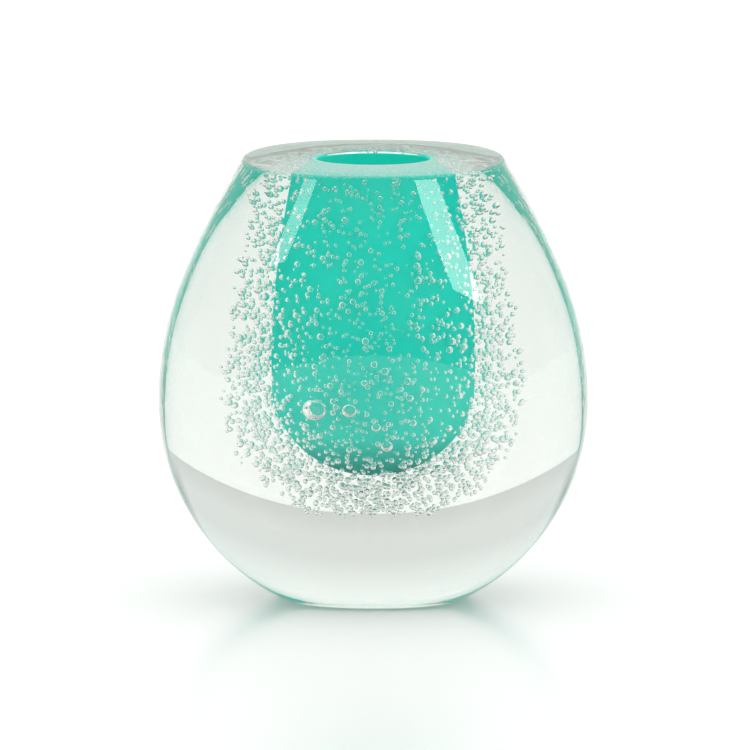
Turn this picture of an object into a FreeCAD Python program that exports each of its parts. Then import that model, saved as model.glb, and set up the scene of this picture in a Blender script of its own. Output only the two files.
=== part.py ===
import FreeCAD, Part
import math
import os
import Sketcher

# A hand blown vase: three gathers of glass, one inside the other, fused while hot and
# flattened from front to back. clear_casing is the thick outer glass, bubble_gather is
# the clear glass that holds the seed bubbles, and aqua_lining is the thin coloured glass
# round the cavity. All three are cut and polished flat at the rim. Lengths are in
# millimetres and the sweep is in degrees. +Z is up, X runs along the wide way, and the
# origin is the middle of the flat foot.

# Widths are half widths along X. A depth ratio is the depth along Y over that width. A
# squareness of 2 is an ellipse, and a larger one has flatter faces and fuller corners.
OUTSIDE = {
    "height": 150.0,
    "belly_width": 72.2,
    "belly_level": 68.0,
    "bowl_arc": 75.8,
    "shoulder_arc": 107.5,
    "shoulder_sweep": 22.2,
    "neck_arc": 307.0,
    "foot_rounding": 15.0,
    "rim_rounding": 2.5,
    "mouth_rounding": 0.8,
    "foot_depth": 0.75,
    "belly_depth": 0.64,
    "rim_depth": 0.8,
    "foot_squareness": 2.4,
    "belly_squareness": 2.7,
    "rim_squareness": 2.3,
    "well_depth": 0.66,
}

# Each surface inside the casing is a well. Its straight throat widens from the mouth,
# swells to its greatest width at a level, and closes in a rounded bottom.
WELLS = {
    "gather": dict(mouth=30.1, width=45.8, level=69.0, swell_arc=60.0, bottom_arc=60.0, bottom=30.5),
    "lining": dict(mouth=20.5, width=30.9, level=74.5, swell_arc=183.0, bottom_arc=42.0, bottom=45.2),
    "cavity": dict(mouth=18.8, width=29.4, level=74.5, swell_arc=181.5, bottom_arc=40.5, bottom=47.1),
}

# Ends of a curve in a sketch, and the sketch's own axis and origin.
START, END, CENTRE = 1, 2, 3
ORIGIN = (-1, 1)
UPRIGHT_AXIS = -2

# The outside is lofted through this many ovals, each through this many points.
OVALS, OVAL_POINTS = 38, 48

# How far a ring's points may lie from its level.
FLAT = 0.01

doc = FreeCAD.newDocument("blown_glass_vase")
sheet = doc.addObject("Spreadsheet::Sheet", "Dimensions")


def fill_sheet():
    cells = dict(OUTSIDE)
    for well, sizes in WELLS.items():
        for key, value in sizes.items():
            cells[f"{well}_{key}"] = value
    for row, (alias, value) in enumerate(cells.items(), start=1):
        sheet.set(f"A{row}", alias)
        sheet.set(f"B{row}", str(value))
        sheet.setAlias(f"B{row}", alias)
    doc.recompute()


def size(alias):
    return float(sheet.get(alias))


def make_profile(label):
    """An empty sketch on the upright plane through the wide way."""
    sketch = doc.addObject("Sketcher::SketchObject", label + "_profile")
    sketch.Placement = FreeCAD.Placement(FreeCAD.Vector(), FreeCAD.Rotation(FreeCAD.Vector(1, 0, 0), 90))
    return sketch


def add_line(sketch, start, end):
    line = Part.LineSegment(FreeCAD.Vector(*start, 0), FreeCAD.Vector(*end, 0))
    return sketch.addGeometry(line, False)


def add_arc(sketch, centre, radius, first_angle, last_angle):
    """An arc drawn counter-clockwise, so it starts at first_angle."""
    circle = Part.Circle(FreeCAD.Vector(*centre, 0), FreeCAD.Vector(0, 0, 1), radius)
    return sketch.addGeometry(Part.ArcOfCircle(circle, first_angle, last_angle), False)


def constrain(sketch, *terms):
    return sketch.addConstraint(Sketcher.Constraint(*terms))


def drive(sketch, alias, *terms):
    """A dimension that follows the sheet's cell of that name."""
    value = size(alias)
    if terms[0] == "Angle":
        value = math.radians(value)
    index = constrain(sketch, *terms, value)
    sketch.setExpression(f"Constraints[{index}]", f"Dimensions.{alias}")


def place(sketch, curve, end, across, up):
    """Fixes a curve's end by its distance from the axis and its level."""
    drive(sketch, across, "DistanceX", *ORIGIN, curve, end)
    drive(sketch, up, "DistanceY", *ORIGIN, curve, end)


def draw_outside(sketch):
    """The foot's rounded edge, the bowl, the shoulder and the neck."""
    width, level, height = size("belly_width"), size("belly_level"), size("height")
    rounding, bowl_arc = size("foot_rounding"), size("bowl_arc")
    shoulder_arc, neck_arc = size("shoulder_arc"), size("neck_arc")
    sweep = math.radians(size("shoulder_sweep"))

    bowl_centre = (width - bowl_arc, level)
    reach = math.sqrt((bowl_arc - rounding) ** 2 - (level - rounding) ** 2)
    foot_centre = (bowl_centre[0] + reach, rounding)
    foot_angle = math.atan2(level - rounding, reach)
    shoulder_centre = (width - shoulder_arc, level)
    spare = neck_arc - shoulder_arc
    neck_centre = (
        shoulder_centre[0] - spare * math.cos(sweep),
        shoulder_centre[1] - spare * math.sin(sweep),
    )
    rim_angle = math.asin((height - neck_centre[1]) / neck_arc)

    foot = add_arc(sketch, foot_centre, rounding, -math.pi / 2, -foot_angle)
    bowl = add_arc(sketch, bowl_centre, bowl_arc, -foot_angle, 0)
    shoulder = add_arc(sketch, shoulder_centre, shoulder_arc, 0, sweep)
    neck = add_arc(sketch, neck_centre, neck_arc, sweep, rim_angle)

    constrain(sketch, "Vertical", foot, START, foot, CENTRE)
    constrain(sketch, "DistanceY", *ORIGIN, foot, START, 0.0)
    constrain(sketch, "Tangent", foot, END, bowl, START)
    constrain(sketch, "Tangent", bowl, END, shoulder, START)
    constrain(sketch, "Tangent", shoulder, END, neck, START)
    constrain(sketch, "Horizontal", bowl, END, bowl, CENTRE)
    place(sketch, bowl, END, "belly_width", "belly_level")
    drive(sketch, "foot_rounding", "Radius", foot)
    drive(sketch, "bowl_arc", "Radius", bowl)
    drive(sketch, "shoulder_arc", "Radius", shoulder)
    drive(sketch, "neck_arc", "Radius", neck)
    drive(sketch, "shoulder_sweep", "Angle", shoulder)
    drive(sketch, "height", "DistanceY", *ORIGIN, neck, END)


def draw_well(sketch, well):
    """Half of one well's section, closed along the rim and the axis."""
    height = size("height")
    mouth, width, level = size(well + "_mouth"), size(well + "_width"), size(well + "_level")
    swell_arc, bottom_arc = size(well + "_swell_arc"), size(well + "_bottom_arc")
    bottom = size(well + "_bottom")

    across, above = mouth - width + swell_arc, height - level
    lean = math.atan2(above, across) - math.acos(swell_arc / math.hypot(across, above))
    joint = (width - swell_arc * (1 - math.cos(lean)), level + swell_arc * math.sin(lean))
    depth = level - bottom
    side_arc = (2 * depth * bottom_arc - width**2 - depth**2) / (2 * (bottom_arc - width))
    turn = math.atan2(bottom + bottom_arc - level, width - side_arc)

    throat = add_line(sketch, (mouth, height), joint)
    swell = add_arc(sketch, (width - swell_arc, level), swell_arc, 0, lean)
    side = add_arc(sketch, (width - side_arc, level), side_arc, -turn, 0)
    base = add_arc(sketch, (0, bottom + bottom_arc), bottom_arc, -math.pi / 2, -turn)
    core = add_line(sketch, (0, bottom), (0, height))
    rim = add_line(sketch, (0, height), (mouth, height))

    constrain(sketch, "Tangent", throat, END, swell, END)
    constrain(sketch, "Tangent", swell, START, side, END)
    constrain(sketch, "Tangent", side, START, base, END)
    constrain(sketch, "Horizontal", swell, START, swell, CENTRE)
    constrain(sketch, "PointOnObject", base, START, UPRIGHT_AXIS)
    constrain(sketch, "PointOnObject", base, CENTRE, UPRIGHT_AXIS)
    constrain(sketch, "Coincident", base, START, core, START)
    constrain(sketch, "Coincident", core, END, rim, START)
    constrain(sketch, "Coincident", rim, END, throat, START)
    constrain(sketch, "Vertical", core)
    constrain(sketch, "Horizontal", rim)
    place(sketch, throat, START, well + "_mouth", "height")
    place(sketch, swell, START, well + "_width", well + "_level")
    drive(sketch, well + "_swell_arc", "Radius", swell)
    drive(sketch, well + "_bottom_arc", "Radius", base)
    drive(sketch, well + "_bottom", "DistanceY", *ORIGIN, base, START)


def eased(quantity, level):
    """The depth or squareness at a level, eased from the belly's to the rim's or foot's."""
    belly = size("belly_level")
    end, reach = ("rim", size("height") - belly) if level > belly else ("foot", belly)
    share = min(abs(level - belly) / reach, 1.0)
    share = share * share * (3 - 2 * share)
    return (1 - share) * size(f"belly_{quantity}") + share * size(f"{end}_{quantity}")


def make_oval(width, level):
    """The closed outline at one level, as a smooth curve."""
    depth, power = eased("depth", level), eased("squareness", level)
    points = []
    for step in range(OVAL_POINTS):
        angle = 2 * math.pi * step / OVAL_POINTS
        along, across = math.cos(angle), math.sin(angle)
        reach = width * (abs(along) ** power + abs(across) ** power) ** (-1 / power)
        points.append(FreeCAD.Vector(reach * along, depth * reach * across, level))
    curve = Part.BSplineCurve()
    spacing = [step / OVAL_POINTS for step in range(OVAL_POINTS + 1)]
    curve.interpolate(Points=points, PeriodicFlag=True, Parameters=spacing)
    return Part.Wire([curve.toShape()])


def make_outside():
    """The flattened outside, lofted up its profile, with its rim edge rounded."""
    sketch = make_profile("outside")
    draw_outside(sketch)
    doc.recompute()
    profile = Part.Wire(Part.__sortEdges__(sketch.Shape.Edges))
    ovals = [make_oval(point.x, point.z) for point in profile.discretize(Number=OVALS)]
    if profile.discretize(Number=2)[0].z > size("belly_level"):
        ovals.reverse()
    loft = doc.addObject("Part::Feature", "outside_loft")
    loft.Shape = Part.makeLoft(ovals, True, False)
    loft.Placement = FreeCAD.Placement()
    return round_edge("outside", loft, "rim_rounding", True)


def make_well(well):
    """A well as a solid: turned from its section, then flattened."""
    sketch = make_profile(well)
    draw_well(sketch, well)
    turned = doc.addObject("Part::Revolution", well + "_turned")
    turned.Source = sketch
    turned.Axis = FreeCAD.Vector(0, 0, 1)
    turned.Angle = 360.0
    turned.Solid = True
    flattened = doc.addObject("Part::Scale", well + "_well")
    flattened.Base = turned
    flattened.Uniform = False
    flattened.XScale, flattened.YScale, flattened.ZScale = 1.0, size("well_depth"), 1.0
    flattened.setExpression("YScale", "Dimensions.well_depth")
    doc.recompute()
    return flattened


def round_edge(name, base, radius_alias, outermost):
    """Rounds the longest or the shortest closed edge at the rim."""
    rings = []
    for number, edge in enumerate(base.Shape.Edges, start=1):
        box = edge.BoundBox
        if not edge.Degenerated and min(box.ZMin, box.ZMax) > size("height") - FLAT:
            rings.append((edge.Length, number))
    chosen = max(rings) if outermost else min(rings)
    fillet = doc.addObject("Part::Fillet", name)
    fillet.Base = base
    fillet.Edges = [(chosen[1], size(radius_alias), size(radius_alias))]
    doc.recompute()
    return fillet


def cut(name, base, tool):
    piece = doc.addObject("Part::Cut", name)
    piece.Base, piece.Tool = base, tool
    doc.recompute()
    return piece


def finish_piece(piece, label):
    piece.Label = label
    piece.Placement = FreeCAD.Placement()
    return piece


def check_document():
    for item in doc.Objects:
        if "Invalid" in item.State or "Error" in item.State:
            raise RuntimeError(f"{item.Name} failed: {item.State}")
        if item.TypeId == "Sketcher::SketchObject" and item.solve() != 0:
            raise RuntimeError(f"{item.Name} is not solved")


def export_pieces(pieces):
    os.makedirs("parts", exist_ok=True)
    for piece in pieces:
        shape = piece.Shape
        if shape.isNull() or not shape.isValid() or len(shape.Solids) != 1:
            raise RuntimeError(f"{piece.Label} is not one valid solid")
        shape.exportStep(f"parts/{piece.Label}.step")
        box = shape.optimalBoundingBox(False, False)
        extents = f"{box.XLength:.1f} x {box.YLength:.1f} x {box.ZLength:.1f} mm"
        print(f"{piece.Label}: {shape.Volume / 1000:.1f} cm3, {extents}")


fill_sheet()
outside = make_outside()
gather, lining, cavity = make_well("gather"), make_well("lining"), make_well("cavity")
lining_blank = cut("lining_blank", lining, cavity)
pieces = [
    finish_piece(cut("casing", outside, gather), "clear_casing"),
    finish_piece(cut("seeded", gather, lining), "bubble_gather"),
    finish_piece(round_edge("lined", lining_blank, "mouth_rounding", False), "aqua_lining"),
]
doc.recompute()
check_document()
export_pieces(pieces)
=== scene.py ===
import itertools
import math
import random

import bpy
from mathutils import Matrix, Vector


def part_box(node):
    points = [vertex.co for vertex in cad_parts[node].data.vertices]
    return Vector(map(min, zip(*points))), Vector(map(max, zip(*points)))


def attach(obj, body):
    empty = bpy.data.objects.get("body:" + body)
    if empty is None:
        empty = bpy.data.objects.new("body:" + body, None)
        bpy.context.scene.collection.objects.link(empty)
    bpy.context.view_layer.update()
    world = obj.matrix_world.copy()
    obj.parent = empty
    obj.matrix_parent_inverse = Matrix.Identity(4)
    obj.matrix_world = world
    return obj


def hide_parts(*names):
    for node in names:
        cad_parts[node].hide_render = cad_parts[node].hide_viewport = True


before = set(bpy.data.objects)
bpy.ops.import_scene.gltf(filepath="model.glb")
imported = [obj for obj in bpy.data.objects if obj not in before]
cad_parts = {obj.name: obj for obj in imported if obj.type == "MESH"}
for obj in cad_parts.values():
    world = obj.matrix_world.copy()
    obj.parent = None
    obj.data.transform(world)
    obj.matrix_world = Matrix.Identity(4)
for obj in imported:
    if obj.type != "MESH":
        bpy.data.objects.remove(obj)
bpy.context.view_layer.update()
scene = bpy.context.scene
casingLow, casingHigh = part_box("clear_casing")
gatherLow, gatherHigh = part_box("bubble_gather")
liningLow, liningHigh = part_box("aqua_lining")
height = casingHigh[2]
print("frame loaded: vase", [round(side * 1000, 1) for side in casingHigh], "mm")


# Meshes are drawn as half profiles of (distance from the axis, level), in metres.
def arcPoints(centre, radius, start, end, count):
    angles = [start + (end - start) * step / count for step in range(count + 1)]
    return [(centre[0] + radius * math.cos(a), centre[1] + radius * math.sin(a)) for a in angles]


def joinPoints(*runs):
    points = list(runs[0])
    for run in runs[1:]:
        points += run[1:]
    return points


# The outside: a foot with a rounded edge, a round bowl, a shoulder and a long neck.
outsideShape = {
    "bellyWidth": (casingHigh[0] - casingLow[0]) / 2,
    "bellyLevel": 0.068,
    "bowlArc": 0.0758,
    "shoulderArc": 0.1075,
    "shoulderSweep": math.radians(22.2),
    "neckArc": 0.307,
    "footRounding": 0.015,
    "rimRounding": 0.0025,
    "footDepth": 0.75,  # depth over width, at the foot, the belly and the rim
    "bellyDepth": 0.64,
    "rimDepth": 0.8,
    "footSquareness": 2.4,  # 2 is an ellipse, more has flatter faces and fuller corners
    "bellySquareness": 2.7,
    "rimSquareness": 2.3,
    "stepsRound": 256,
    "arcSteps": {"foot": 12, "bowl": 52, "shoulder": 30, "neck": 34, "rim": 10},
}


def outsideProfile():
    shape = outsideShape
    width, level, bowlArc = shape["bellyWidth"], shape["bellyLevel"], shape["bowlArc"]
    foot, rim, sweep = shape["footRounding"], shape["rimRounding"], shape["shoulderSweep"]
    bowlCentre = (width - bowlArc, level)
    reach = math.sqrt((bowlArc - foot) ** 2 - (level - foot) ** 2)
    footCentre = (bowlCentre[0] + reach, foot)
    footTurn = -math.atan2(level - foot, reach)
    shoulderCentre = (width - shape["shoulderArc"], level)
    spare = shape["neckArc"] - shape["shoulderArc"]
    neckCentre = (shoulderCentre[0] - spare * math.cos(sweep), level - spare * math.sin(sweep))
    rimLevel = height - rim
    rimReach = math.sqrt((shape["neckArc"] - rim) ** 2 - (rimLevel - neckCentre[1]) ** 2)
    rimCentre = (neckCentre[0] + rimReach, rimLevel)
    rimTurn = math.atan2(rimLevel - neckCentre[1], rimReach)
    steps = shape["arcSteps"]
    return joinPoints(
        [(0, 0), (footCentre[0], 0)],
        arcPoints(footCentre, foot, -math.pi / 2, footTurn, steps["foot"]),
        arcPoints(bowlCentre, bowlArc, footTurn, 0, steps["bowl"]),
        arcPoints(shoulderCentre, shape["shoulderArc"], 0, sweep, steps["shoulder"]),
        arcPoints(neckCentre, shape["neckArc"], sweep, rimTurn, steps["neck"]),
        arcPoints(rimCentre, rim, rimTurn, math.pi / 2, steps["rim"]),
    )


# The wells inside it: a straight throat, a long swell and a rounded bottom. Both share
# one ratio of depth to width, which the seeded glass's box gives.
wellDepth = (gatherHigh[1] - gatherLow[1]) / (gatherHigh[0] - gatherLow[0])
liningShape = {
    "mouth": 0.0205,
    "width": (liningHigh[0] - liningLow[0]) / 2,
    "level": 0.0745,
    "swellArc": 0.183,
    "bottomArc": 0.042,
    "bottom": liningLow[2],
    "thickness": 0.0016,
}
gatherShape = {
    "mouth": 0.0301,
    "width": (gatherHigh[0] - gatherLow[0]) / 2,
    "level": 0.069,
    "swellArc": 0.060,
    "bottomArc": 0.060,
    "bottom": gatherLow[2],
}


wellSteps = {"throat": 14, "swell": 26, "side": 20, "base": 24}


def wellProfile(shape, inset=0.0):
    # From the mouth down to the axis. An inset moves the whole wall inwards.
    mouth, width, bottom = shape["mouth"] - inset, shape["width"] - inset, shape["bottom"] + inset
    swellArc, bottomArc, level = shape["swellArc"] - inset, shape["bottomArc"] - inset, shape["level"]
    across, above = mouth - width + swellArc, height - level
    lean = math.atan2(above, across) - math.acos(swellArc / math.hypot(across, above))
    depth = level - bottom
    sideArc = (2 * depth * bottomArc - width**2 - depth**2) / (2 * (bottomArc - width))
    turn = math.atan2(bottom + bottomArc - level, width - sideArc)
    swell = arcPoints((width - swellArc, level), swellArc, lean, 0, wellSteps["swell"])
    narrowing, fall = mouth - swell[0][0], height - swell[0][1]
    shares = [step / wellSteps["throat"] for step in range(wellSteps["throat"] + 1)]
    throat = [(mouth - narrowing * share, height - fall * share) for share in shares]
    side = arcPoints((width - sideArc, level), sideArc, 0, -turn, wellSteps["side"])
    base = arcPoints((0, bottom + bottomArc), bottomArc, -turn, -math.pi / 2, wellSteps["base"])
    base[-1] = (0, bottom)
    return joinPoints(throat, swell, side, base)


def radiusAt(profile, level):
    # The widest distance from the axis at a level.
    best = 0.0
    for (r0, z0), (r1, z1) in zip(profile, profile[1:]):
        if min(z0, z1) <= level <= max(z0, z1) and z0 != z1:
            best = max(best, r0 + (r1 - r0) * (level - z0) / (z1 - z0))
    return best


def cutBelow(profile, level):
    # The part of a well's profile below a level, from a point on that level.
    return [(radiusAt(profile, level), level)] + [point for point in profile if point[1] < level]


def turnProfile(name, profile):
    # One point is pulled along the profile, and the line is spun round the axis.
    bpy.ops.object.select_all(action="DESELECT")
    bpy.ops.mesh.primitive_plane_add(size=0.001, location=(profile[0][0], 0, profile[0][1]))
    piece = bpy.context.object
    piece.name = piece.data.name = name
    bpy.ops.object.transform_apply(location=True, rotation=True, scale=True)
    bpy.ops.object.mode_set(mode="EDIT")
    bpy.ops.mesh.select_all(action="SELECT")
    bpy.ops.mesh.merge(type="CENTER")
    for (r0, z0), (r1, z1) in zip(profile, profile[1:]):
        bpy.ops.mesh.extrude_region_move(TRANSFORM_OT_translate={"value": (r1 - r0, 0, z1 - z0)})
    bpy.ops.mesh.select_all(action="SELECT")
    bpy.ops.mesh.spin(
        steps=outsideShape["stepsRound"], angle=2 * math.pi, center=(0, 0, 0), axis=(0, 0, 1)
    )
    bpy.ops.mesh.select_all(action="SELECT")
    bpy.ops.mesh.remove_doubles(threshold=2e-6)
    bpy.ops.mesh.normals_make_consistent(inside=False)
    bpy.ops.object.mode_set(mode="OBJECT")
    return piece


def easedRatio(quantity, level):
    # The belly's value of a quantity, eased towards the rim's or the foot's.
    belly = outsideShape["bellyLevel"]
    end, reach = ("rim", height - belly) if level > belly else ("foot", belly)
    share = min(abs(level - belly) / reach, 1.0)
    share = share * share * (3 - 2 * share)
    return (1 - share) * outsideShape["belly" + quantity] + share * outsideShape[end + quantity]


def pressOutside(piece):
    # The round bowl is pressed from front and back into an oval fuller than an ellipse, more
    # so at the belly, which no single scaling gives.
    for vertex in piece.data.vertices:
        x, y, level = vertex.co
        radius = math.hypot(x, y)
        if radius > 1e-7:
            depth, power = easedRatio("Depth", level), easedRatio("Squareness", level)
            fullness = (abs(x / radius) ** power + abs(y / radius) ** power) ** (-1 / power)
            vertex.co = (x * fullness, y * fullness * depth, level)


def pressWell(piece):
    bpy.ops.object.select_all(action="DESELECT")
    piece.select_set(True)
    bpy.context.view_layer.objects.active = piece
    piece.scale.y = wellDepth
    bpy.ops.object.transform_apply(location=True, rotation=True, scale=True)


def smoothPiece(piece, degrees):
    bpy.ops.object.select_all(action="DESELECT")
    bpy.context.view_layer.objects.active = piece
    piece.select_set(True)
    bpy.ops.object.shade_smooth_by_angle(angle=math.radians(degrees))
    piece.select_set(False)


# The clear glass is one skin: the outside, the cut rim and the wall of the cavity. The
# lining is a shell just under that wall.
skinShape = {
    "mouthRounding": 0.0008,
    "roundingSteps": 5,
    "underSkin": 0.00006,
    "underRim": 0.0009,
    "skinSmoothing": 30,  # degrees
    "liningSmoothing": 40,
}


def makeClearGlass():
    outside = turnProfile("clear_glass", outsideProfile())
    pressOutside(outside)
    wall = wellProfile(liningShape, liningShape["thickness"])
    rounding = skinShape["mouthRounding"]
    lipCentre = (wall[0][0] + rounding, height - rounding)
    lip = arcPoints(lipCentre, rounding, math.pi / 2, math.pi, skinShape["roundingSteps"])
    cavityLine = lip + cutBelow(wall, height - rounding)[1:]
    cavity = turnProfile("cavity_wall", cavityLine)
    pressWell(cavity)
    bpy.ops.object.select_all(action="DESELECT")
    cavity.select_set(True)
    outside.select_set(True)
    bpy.context.view_layer.objects.active = outside
    bpy.ops.object.join()
    bpy.ops.object.mode_set(mode="EDIT")
    bpy.ops.mesh.select_mode(type="EDGE")
    bpy.ops.mesh.select_all(action="DESELECT")
    bpy.ops.mesh.select_non_manifold()
    bpy.ops.mesh.bridge_edge_loops()
    bpy.ops.mesh.select_all(action="SELECT")
    bpy.ops.mesh.normals_make_consistent(inside=False)
    bpy.ops.mesh.select_mode(type="VERT")
    bpy.ops.object.mode_set(mode="OBJECT")
    smoothPiece(outside, skinShape["skinSmoothing"])
    return outside


def makeAquaLining():
    top = height - skinShape["underRim"]
    outer = cutBelow(wellProfile(liningShape), top)
    inner = cutBelow(wellProfile(liningShape, liningShape["thickness"] - skinShape["underSkin"]), top)
    lining = turnProfile("aqua_lining_glass", outer[::-1] + inner)
    pressWell(lining)
    smoothPiece(lining, skinShape["liningSmoothing"])
    return lining


clearGlass = makeClearGlass()
aquaLining = makeAquaLining()
print("glass skin and lining made:", len(clearGlass.data.polygons), len(aquaLining.data.polygons), "faces")


# Bubbles: a small sphere and a finer big one, copied through the glass round the lining.
seedShape = {
    "randomSeed": 31,
    "count": 4300,
    "smallest": 0.00036,  # radii
    "usual": 0.00064,
    "largest": 0.0014,
    "spread": 0.32,
    "groups": 3,
    "clearance": 0.0003,  # from the lining
    "bigClearance": 0.0012,
    "gap": 0.00008,  # from each other
    "lowest": 0.034,
    "underRim": 0.0015,
    "poleHeight": 0.003,  # none sits in this short column under the lining's pole
    "poleRadius": 0.002,
    "bigFlattening": 0.94,
    "smallSphere": (8, 6),  # segments and rings
    "bigSphere": (32, 20),
    "calmLevel": 0.095,  # above this they thin out towards the rim
    "calmShare": 0.50,
    "sparseLevel": 0.062,  # and below this towards the foot
    "sparseShare": 0.30,
    # the few big ones: place across, level, radius
    "big": [
        (-0.0187, 0.0702, 0.0042),
        (-0.0078, 0.0702, 0.0028),
        (0.0044, 0.0575, 0.0022),
        (0.0009, 0.0642, 0.0018),
        (0.0190, 0.0585, 0.0016),
        (0.0245, 0.0918, 0.0014),
        (0.0037, 0.0835, 0.0016),
        (0.0111, 0.0800, 0.0015),
        (0.0118, 0.0742, 0.0015),
        (-0.0167, 0.0942, 0.0014),
        (-0.0266, 0.0728, 0.0013),
        (-0.0215, 0.0630, 0.0015),
    ],
}


def roundBubble(name, segments, rings):
    bpy.ops.object.select_all(action="DESELECT")
    bpy.ops.mesh.primitive_uv_sphere_add(segments=segments, ring_count=rings, radius=1)
    bubble = bpy.context.object
    bubble.name = name
    bpy.ops.object.shade_smooth()
    return bubble


def copyBubble(pattern, place, size, flattening=1.0):
    bubble = pattern.copy()
    bubble.data = pattern.data.copy()
    bubble.data.transform(
        Matrix.Translation(place) @ Matrix.Diagonal((size, size, size * flattening, 1))
    )
    scene.collection.objects.link(bubble)
    return bubble


def joinBubbles(name, bubbles):
    bpy.ops.object.select_all(action="DESELECT")
    for bubble in bubbles:
        bubble.select_set(True)
    bpy.context.view_layer.objects.active = bubbles[0]
    bpy.ops.object.join()
    bubbles[0].name = bubbles[0].data.name = name
    return bubbles[0]


class Crowd:
    # The spheres placed so far, in a grid of cells so that only near ones are compared.
    cell = 0.004

    def __init__(self):
        self.cells = {}

    def admits(self, place, radius):
        home = tuple(math.floor(value / self.cell) for value in place)
        for step in itertools.product((-1, 0, 1), repeat=3):
            neighbour = tuple(a + b for a, b in zip(home, step))
            for other, size in self.cells.get(neighbour, []):
                if (other - place).length < radius + size + seedShape["gap"]:
                    return False
        self.cells.setdefault(home, []).append((place, radius))
        return True


def shareAt(level):
    # How many of the bubbles drawn at a level stay.
    if level > seedShape["calmLevel"]:
        fade = (level - seedShape["calmLevel"]) / (height - seedShape["calmLevel"])
        return 1 - (1 - seedShape["calmShare"]) * fade
    if level < seedShape["sparseLevel"]:
        fade = (seedShape["sparseLevel"] - level) / (seedShape["sparseLevel"] - seedShape["lowest"])
        return 1 - (1 - seedShape["sparseShare"]) * fade
    return 1


def isHidden(place):
    # Nothing small stands before a big bubble, nor in the column under the lining's pole.
    x, y, level = place
    before = any(math.hypot(x - across, level - at) < size for across, at, size in seedShape["big"])
    low = level < liningShape["bottom"] + seedShape["poleHeight"]
    return (y < 0 and before) or (low and math.hypot(x, y) < seedShape["poleRadius"])


def pickSeeds():
    draw = random.Random(seedShape["randomSeed"])
    crowd = Crowd()
    liningLine, gatherLine = wellProfile(liningShape), wellProfile(gatherShape)
    seeds = []
    for across, level, radius in seedShape["big"]:
        depth = wellDepth * math.sqrt(max(radiusAt(liningLine, level) ** 2 - across**2, 0))
        place = Vector((across, -(depth + radius + seedShape["bigClearance"]), level))
        crowd.admits(place, radius)
        seeds.append((place, radius))
    while len(seeds) < seedShape["count"]:
        level = draw.uniform(seedShape["lowest"], height - seedShape["underRim"])
        radius = draw.lognormvariate(math.log(seedShape["usual"]), seedShape["spread"])
        radius = min(max(radius, seedShape["smallest"]), seedShape["largest"])
        share = shareAt(level)
        if share < 1 and draw.random() > share:
            continue
        inner = radiusAt(liningLine, level) + radius / wellDepth + seedShape["clearance"]
        outer = radiusAt(gatherLine, level) - radius / wellDepth
        reach = outer * math.sqrt(draw.random())
        angle = draw.uniform(0, 2 * math.pi)
        if reach < inner:
            continue
        place = Vector((reach * math.cos(angle), wellDepth * reach * math.sin(angle), level))
        if not isHidden(place) and crowd.admits(place, radius):
            seeds.append((place, radius))
    return seeds


def makeBubbles():
    fine = roundBubble("bubble_pattern", *seedShape["smallSphere"])
    full = roundBubble("big_bubble_pattern", *seedShape["bigSphere"])
    seeds = pickSeeds()
    big, small = seeds[: len(seedShape["big"])], seeds[len(seedShape["big"]) :]
    copies = [copyBubble(full, place, radius, seedShape["bigFlattening"]) for place, radius in big]
    pieces = [joinBubbles("big_bubbles", copies)]
    share = math.ceil(len(small) / seedShape["groups"])
    for number in range(seedShape["groups"]):
        group = small[number * share : (number + 1) * share]
        copies = [copyBubble(fine, place, radius) for place, radius in group]
        pieces.append(joinBubbles("seed_bubbles_" + str(number + 1), copies))
    for pattern in (fine, full):
        bpy.data.objects.remove(pattern)
    return pieces


bubbles = makeBubbles()
print("bubbles made:", sum(len(piece.data.polygons) for piece in bubbles), "faces")


class Signal:
    # An output socket, so that sums and products of values read as plain maths.
    def __init__(self, recipe, socket):
        self.recipe, self.socket = recipe, socket

    def combine(self, operation, first, second):
        return self.recipe.add("ShaderNodeMath", {"operation": operation}, {0: first, 1: second})

    def sibling(self, name):
        return Signal(self.recipe, self.socket.node.outputs[name])

    def clamp(self):
        return self.recipe.add("ShaderNodeClamp", {}, {0: self})

    def __add__(self, other):
        return self.combine("ADD", self, other)

    def __radd__(self, other):
        return self.combine("ADD", other, self)

    def __sub__(self, other):
        return self.combine("SUBTRACT", self, other)

    def __rsub__(self, other):
        return self.combine("SUBTRACT", other, self)

    def __mul__(self, other):
        return self.combine("MULTIPLY", self, other)

    def __rmul__(self, other):
        return self.combine("MULTIPLY", other, self)

    def __pow__(self, other):
        return self.combine("POWER", self, other)


class Recipe:
    # One material's or the world's nodes.
    def __init__(self, tree):
        self.tree = tree
        tree.nodes.clear()

    def add(self, kind, settings=None, sockets=None, output=0):
        node = self.tree.nodes.new(kind)
        for key, value in (settings or {}).items():
            setattr(node, key, value)
        for key, value in (sockets or {}).items():
            if isinstance(value, Signal):
                self.tree.links.new(value.socket, node.inputs[key])
            else:
                node.inputs[key].default_value = value
        return Signal(self, node.outputs[output]) if len(node.outputs) else node

    def mixColour(self, factor, first, second):
        return self.add("ShaderNodeMix", {"data_type": "RGBA"}, {0: factor, 6: first, 7: second}, 2)


def newMaterial(name):
    material = bpy.data.materials.new(name)
    material.use_nodes = True
    return material, Recipe(material.node_tree)


# Thick clear glass: polished, faintly green in its depth, with a blower's slight waves.
clearFinish = {
    "ior": 1.5,
    "depthColour": (0.835, 0.86, 0.83, 1),
    "depthDensity": 14.0,
    "waveScale": 26.0,
    "waveDetail": 1.0,
    "waveHeight": 0.00004,
}


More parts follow.
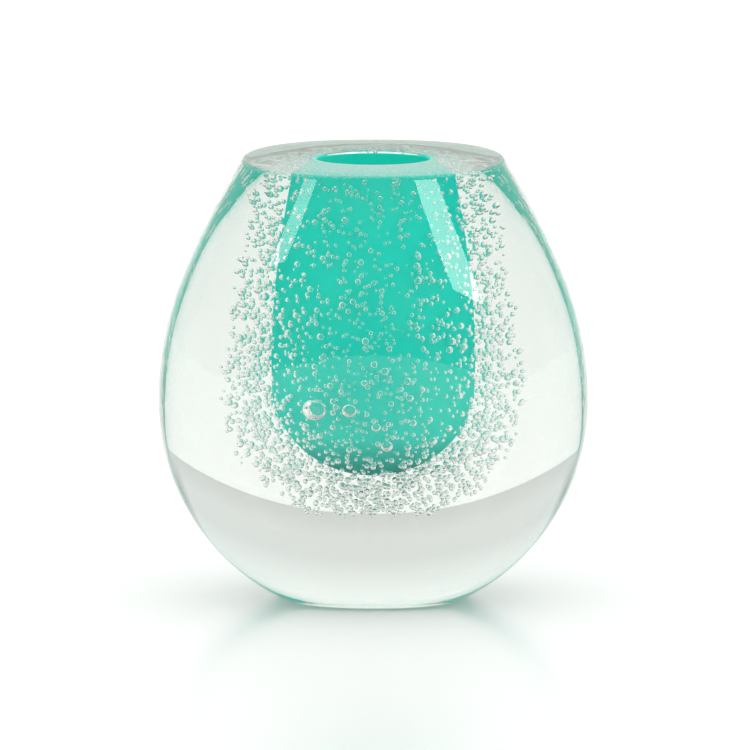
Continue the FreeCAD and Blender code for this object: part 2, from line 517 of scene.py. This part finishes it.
def makeClearFinish():
    material, nodes = newMaterial("polished_clear_glass")
    place = nodes.add("ShaderNodeTexCoord", output=3)
    waves = nodes.add(
        "ShaderNodeTexNoise",
        {},
        {"Vector": place, "Scale": clearFinish["waveScale"], "Detail": clearFinish["waveDetail"]},
    )
    bump = nodes.add(
        "ShaderNodeBump", {}, {"Strength": 1.0, "Distance": clearFinish["waveHeight"], "Height": waves}
    )
    glass = nodes.add(
        "ShaderNodeBsdfPrincipled",
        {},
        {
            "Base Color": (1, 1, 1, 1),
            "Roughness": 0.0,
            "IOR": clearFinish["ior"],
            "Transmission Weight": 1.0,
            "Normal": bump,
        },
    )
    depth = nodes.add(
        "ShaderNodeVolumeAbsorption",
        {},
        {"Color": clearFinish["depthColour"], "Density": clearFinish["depthDensity"]},
    )
    nodes.add("ShaderNodeOutputMaterial", {}, {"Surface": glass, "Volume": depth})
    return material


# The aqua layer: colour fused into the glass, a little uneven as it was drawn out.
aquaFinish = {
    "deep": (0.0, 0.56, 0.45, 1),
    "pale": (0.06, 0.64, 0.49, 1),
    "paintedShade": (0.0, 0.24, 0.19, 1),  # painted shade: the colour darkens towards the rounded bottom
    "paintedShadeBelow": 0.059,
    "paintedShadeFade": 0.012,
    "paintedGlow": 0.36,  # painted light: the coloured glass glows, standing in for light that scatters inside it
    "roughness": 0.6,
    "cloudScale": 34.0,
    "cloudDetail": 3.0,
    "cloudContrast": 1.4,
}


def makeAquaFinish():
    material, nodes = newMaterial("aqua_colour_glass")
    place = nodes.add("ShaderNodeTexCoord", output=3)
    clouds = nodes.add(
        "ShaderNodeTexNoise",
        {},
        {"Vector": place, "Scale": aquaFinish["cloudScale"], "Detail": aquaFinish["cloudDetail"]},
    )
    level = nodes.add("ShaderNodeSeparateXYZ", {}, {"Vector": place}, 2)
    # painted shade: depth here is a mask from 0 to 1 that darkens the colour below a level, towards the
    # rounded bottom
    depth = ((aquaFinish["paintedShadeBelow"] - level) * (1 / aquaFinish["paintedShadeFade"])).clamp()
    clouds = clouds ** aquaFinish["cloudContrast"]
    colour = nodes.mixColour(clouds, aquaFinish["deep"], aquaFinish["pale"])
    colour = nodes.mixColour(depth, colour, aquaFinish["paintedShade"])
    glass = nodes.add(
        "ShaderNodeBsdfPrincipled",
        {},
        {
            "Base Color": colour,
            "Roughness": aquaFinish["roughness"],
            "IOR": 1.0,
            "Specular IOR Level": 0.0,
            # painted light: the colour is also emitted, so the lining glows though it is no lamp
            "Emission Color": colour,
            "Emission Strength": aquaFinish["paintedGlow"],
        },
    )
    nodes.add("ShaderNodeOutputMaterial", {}, {"Surface": glass})
    return material


# Air in glass bends light the other way, so its index is below one.
bubbleFinish = {"ior": 1 / clearFinish["ior"], "colour": (1, 1, 1, 1)}


def makeBubbleFinish():
    material, nodes = newMaterial("air_in_glass")
    air = nodes.add(
        "ShaderNodeBsdfGlass",
        {},
        {"Color": bubbleFinish["colour"], "Roughness": 0.0, "IOR": bubbleFinish["ior"]},
    )
    nodes.add("ShaderNodeOutputMaterial", {}, {"Surface": air})
    return material


def dress(piece, material, slot, *nodes):
    piece.data.materials.clear()
    piece.data.materials.append(material)
    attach(piece, "root")
    if nodes:
        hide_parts(*nodes)


bubbleMaterial = makeBubbleFinish()
dress(clearGlass, makeClearFinish(), "clear_glass", "clear_casing")
dress(aquaLining, makeAquaFinish(), "aqua_glass", "aqua_lining")
for number, piece in enumerate(bubbles):
    dress(piece, bubbleMaterial, "seeded_glass", *(["bubble_gather"] if number == 1 else []))
print("materials made")


# A pale floor, a white surround and two tall softboxes.
studio = {
    "floorSize": 14.0,
    "floorFront": 0.45,  # it ends this far before the vase, so its front mirrors no floor
    "floorDrop": 0.0002,
    "floorColour": (0.93, 0.93, 0.93, 1),
    "floorRoughness": 0.22,
    "floorGloss": 0.35,
    "surround": (0.99, 1.0, 0.985, 1),
    "fill": 1.20,  # what lights matt surfaces and stands behind the vase
    "lowStrength": 0.89,  # what the glass shows just above the horizon, and overhead
    "highStrength": 1.36,
    "lowRise": 0.25,  # sines of the elevations between which it brightens
    "highRise": 0.85,
    "horizonShare": 0.88,  # at the horizon, and how fast it fades out upwards
    "horizonFade": 9,
    "sideStrength": 0.20,  # low at either side, where it draws the glass's edges in grey
    "sideStart": 0.62,  # the square of how far aside that begins
    "sideFade": 5,
    "sideTopFade": 3,
    "frontGloss": 0.16,  # what the front of the glass mirrors between the softboxes
    "frontStart": 0.3,
    "frontFade": 2.0,
    "bounces": 40,
    "glossBounces": 16,
    "mattBounces": 5,
}
softboxes = {
    # azimuth from the front, elevation, distance, width, height, strength in watts
    "left": (-42.5, 31, 1.6, 0.27, 0.66, 2.6),
    "right": (33.5, 27, 1.6, 0.43, 0.95, 8.5),
}


def makeFloor():
    bpy.ops.object.select_all(action="DESELECT")
    middle = studio["floorSize"] / 2 - studio["floorFront"]
    bpy.ops.mesh.primitive_plane_add(
        size=studio["floorSize"], location=(0, middle, -studio["floorDrop"])
    )
    floor = bpy.context.object
    floor.name = "pale_floor"
    bpy.ops.object.transform_apply(location=True, rotation=True, scale=True)
    material, nodes = newMaterial("pale_gloss_floor")
    surface = nodes.add(
        "ShaderNodeBsdfPrincipled",
        {},
        {
            "Base Color": studio["floorColour"],
            "Roughness": studio["floorRoughness"],
            "Specular IOR Level": studio["floorGloss"],
        },
    )
    nodes.add("ShaderNodeOutputMaterial", {}, {"Surface": surface})
    floor.data.materials.append(material)


def makeSurround():
    # Its strength depends on the direction, and on whether a ray has met clear glass.
    world = bpy.data.worlds.new("white_surround")
    scene.world = world
    world.use_nodes = True
    nodes = Recipe(world.node_tree)
    direction = nodes.add("ShaderNodeTexCoord")
    parts = nodes.add("ShaderNodeSeparateXYZ", {}, {"Vector": direction})
    across, forward, upward = parts.sibling("X"), parts.sibling("Y"), parts.sibling("Z")
    rise = (upward - studio["lowRise"]) * (1 / (studio["highRise"] - studio["lowRise"]))
    shown = studio["lowStrength"] + rise.clamp() * (studio["highStrength"] - studio["lowStrength"])
    aboveHorizon = (upward * studio["horizonFade"]).clamp()
    shown = shown * (studio["horizonShare"] + aboveHorizon * (1 - studio["horizonShare"]))
    aside = ((across * across - studio["sideStart"]) * studio["sideFade"]).clamp()
    aside = aside * ((studio["highRise"] - upward) * studio["sideTopFade"]).clamp()
    aside = aside * (upward * studio["sideFade"]).clamp()
    shown = shown * (1 - aside * (1 - studio["sideStrength"]))
    ray = nodes.add("ShaderNodeLightPath")
    inGlass = ray.sibling("Is Singular Ray")
    mirrored = inGlass * ray.sibling("Is Reflection Ray")
    inFront = (studio["frontStart"] - forward * studio["frontFade"]).clamp()
    shown = shown * (1 - mirrored * inFront * (1 - studio["frontGloss"]))
    strength = studio["fill"] + inGlass * (shown - studio["fill"])
    light = nodes.add("ShaderNodeBackground", {}, {"Color": studio["surround"], "Strength": strength})
    nodes.add("ShaderNodeOutputWorld", {}, {"Surface": light})


def makeSoftboxes():
    for name, (azimuth, elevation, distance, width, tall, watts) in softboxes.items():
        bpy.ops.object.light_add(type="AREA")
        lamp = bpy.context.object
        lamp.name = name + "_softbox"
        lamp.data.shape = "RECTANGLE"
        lamp.data.size, lamp.data.size_y, lamp.data.energy = width, tall, watts
        turn, rise = math.radians(azimuth), math.radians(elevation)
        level = math.cos(rise)
        away = Vector((math.sin(turn) * level, -math.cos(turn) * level, math.sin(rise)))
        lamp.location = Vector((0, 0, height / 2)) + away * distance
        lamp.rotation_euler = away.to_track_quat("Z", "Y").to_euler()
        lamp.visible_camera = False
        lamp.visible_transmission = False
        lamp.visible_diffuse = False


# A long lens looks a little down at the middle of the vase.
cameraPlan = {
    "distance": 5.0,
    "rise": math.radians(11.31),
    "seenWidth": 0.25185,
    "sensor": 36.0,
    "shift": (0.00227, 0.0032),
    "farEnd": 100,
}


def makeCamera():
    bpy.ops.object.camera_add()
    camera = bpy.context.object
    camera.name = "main_camera"
    rise, distance = cameraPlan["rise"], cameraPlan["distance"]
    middle = height / 2
    camera.location = (0, -distance, middle + distance * math.tan(rise))
    camera.rotation_euler = (math.pi / 2 - rise, 0, 0)
    camera.data.sensor_width = cameraPlan["sensor"]
    camera.data.lens = cameraPlan["sensor"] * distance / math.cos(rise) / cameraPlan["seenWidth"]
    camera.data.shift_x, camera.data.shift_y = cameraPlan["shift"]
    camera.data.clip_end = cameraPlan["farEnd"]
    scene.camera = camera


makeFloor()
makeSurround()
makeSoftboxes()
makeCamera()
scene.view_settings.view_transform = "Standard"
scene.cycles.max_bounces = studio["bounces"]
scene.cycles.transmission_bounces = studio["bounces"]
scene.cycles.glossy_bounces = studio["glossBounces"]
scene.cycles.transparent_max_bounces = studio["bounces"]
scene.cycles.diffuse_bounces = studio["mattBounces"]
scene.cycles.use_denoising = True
print("studio and camera made")
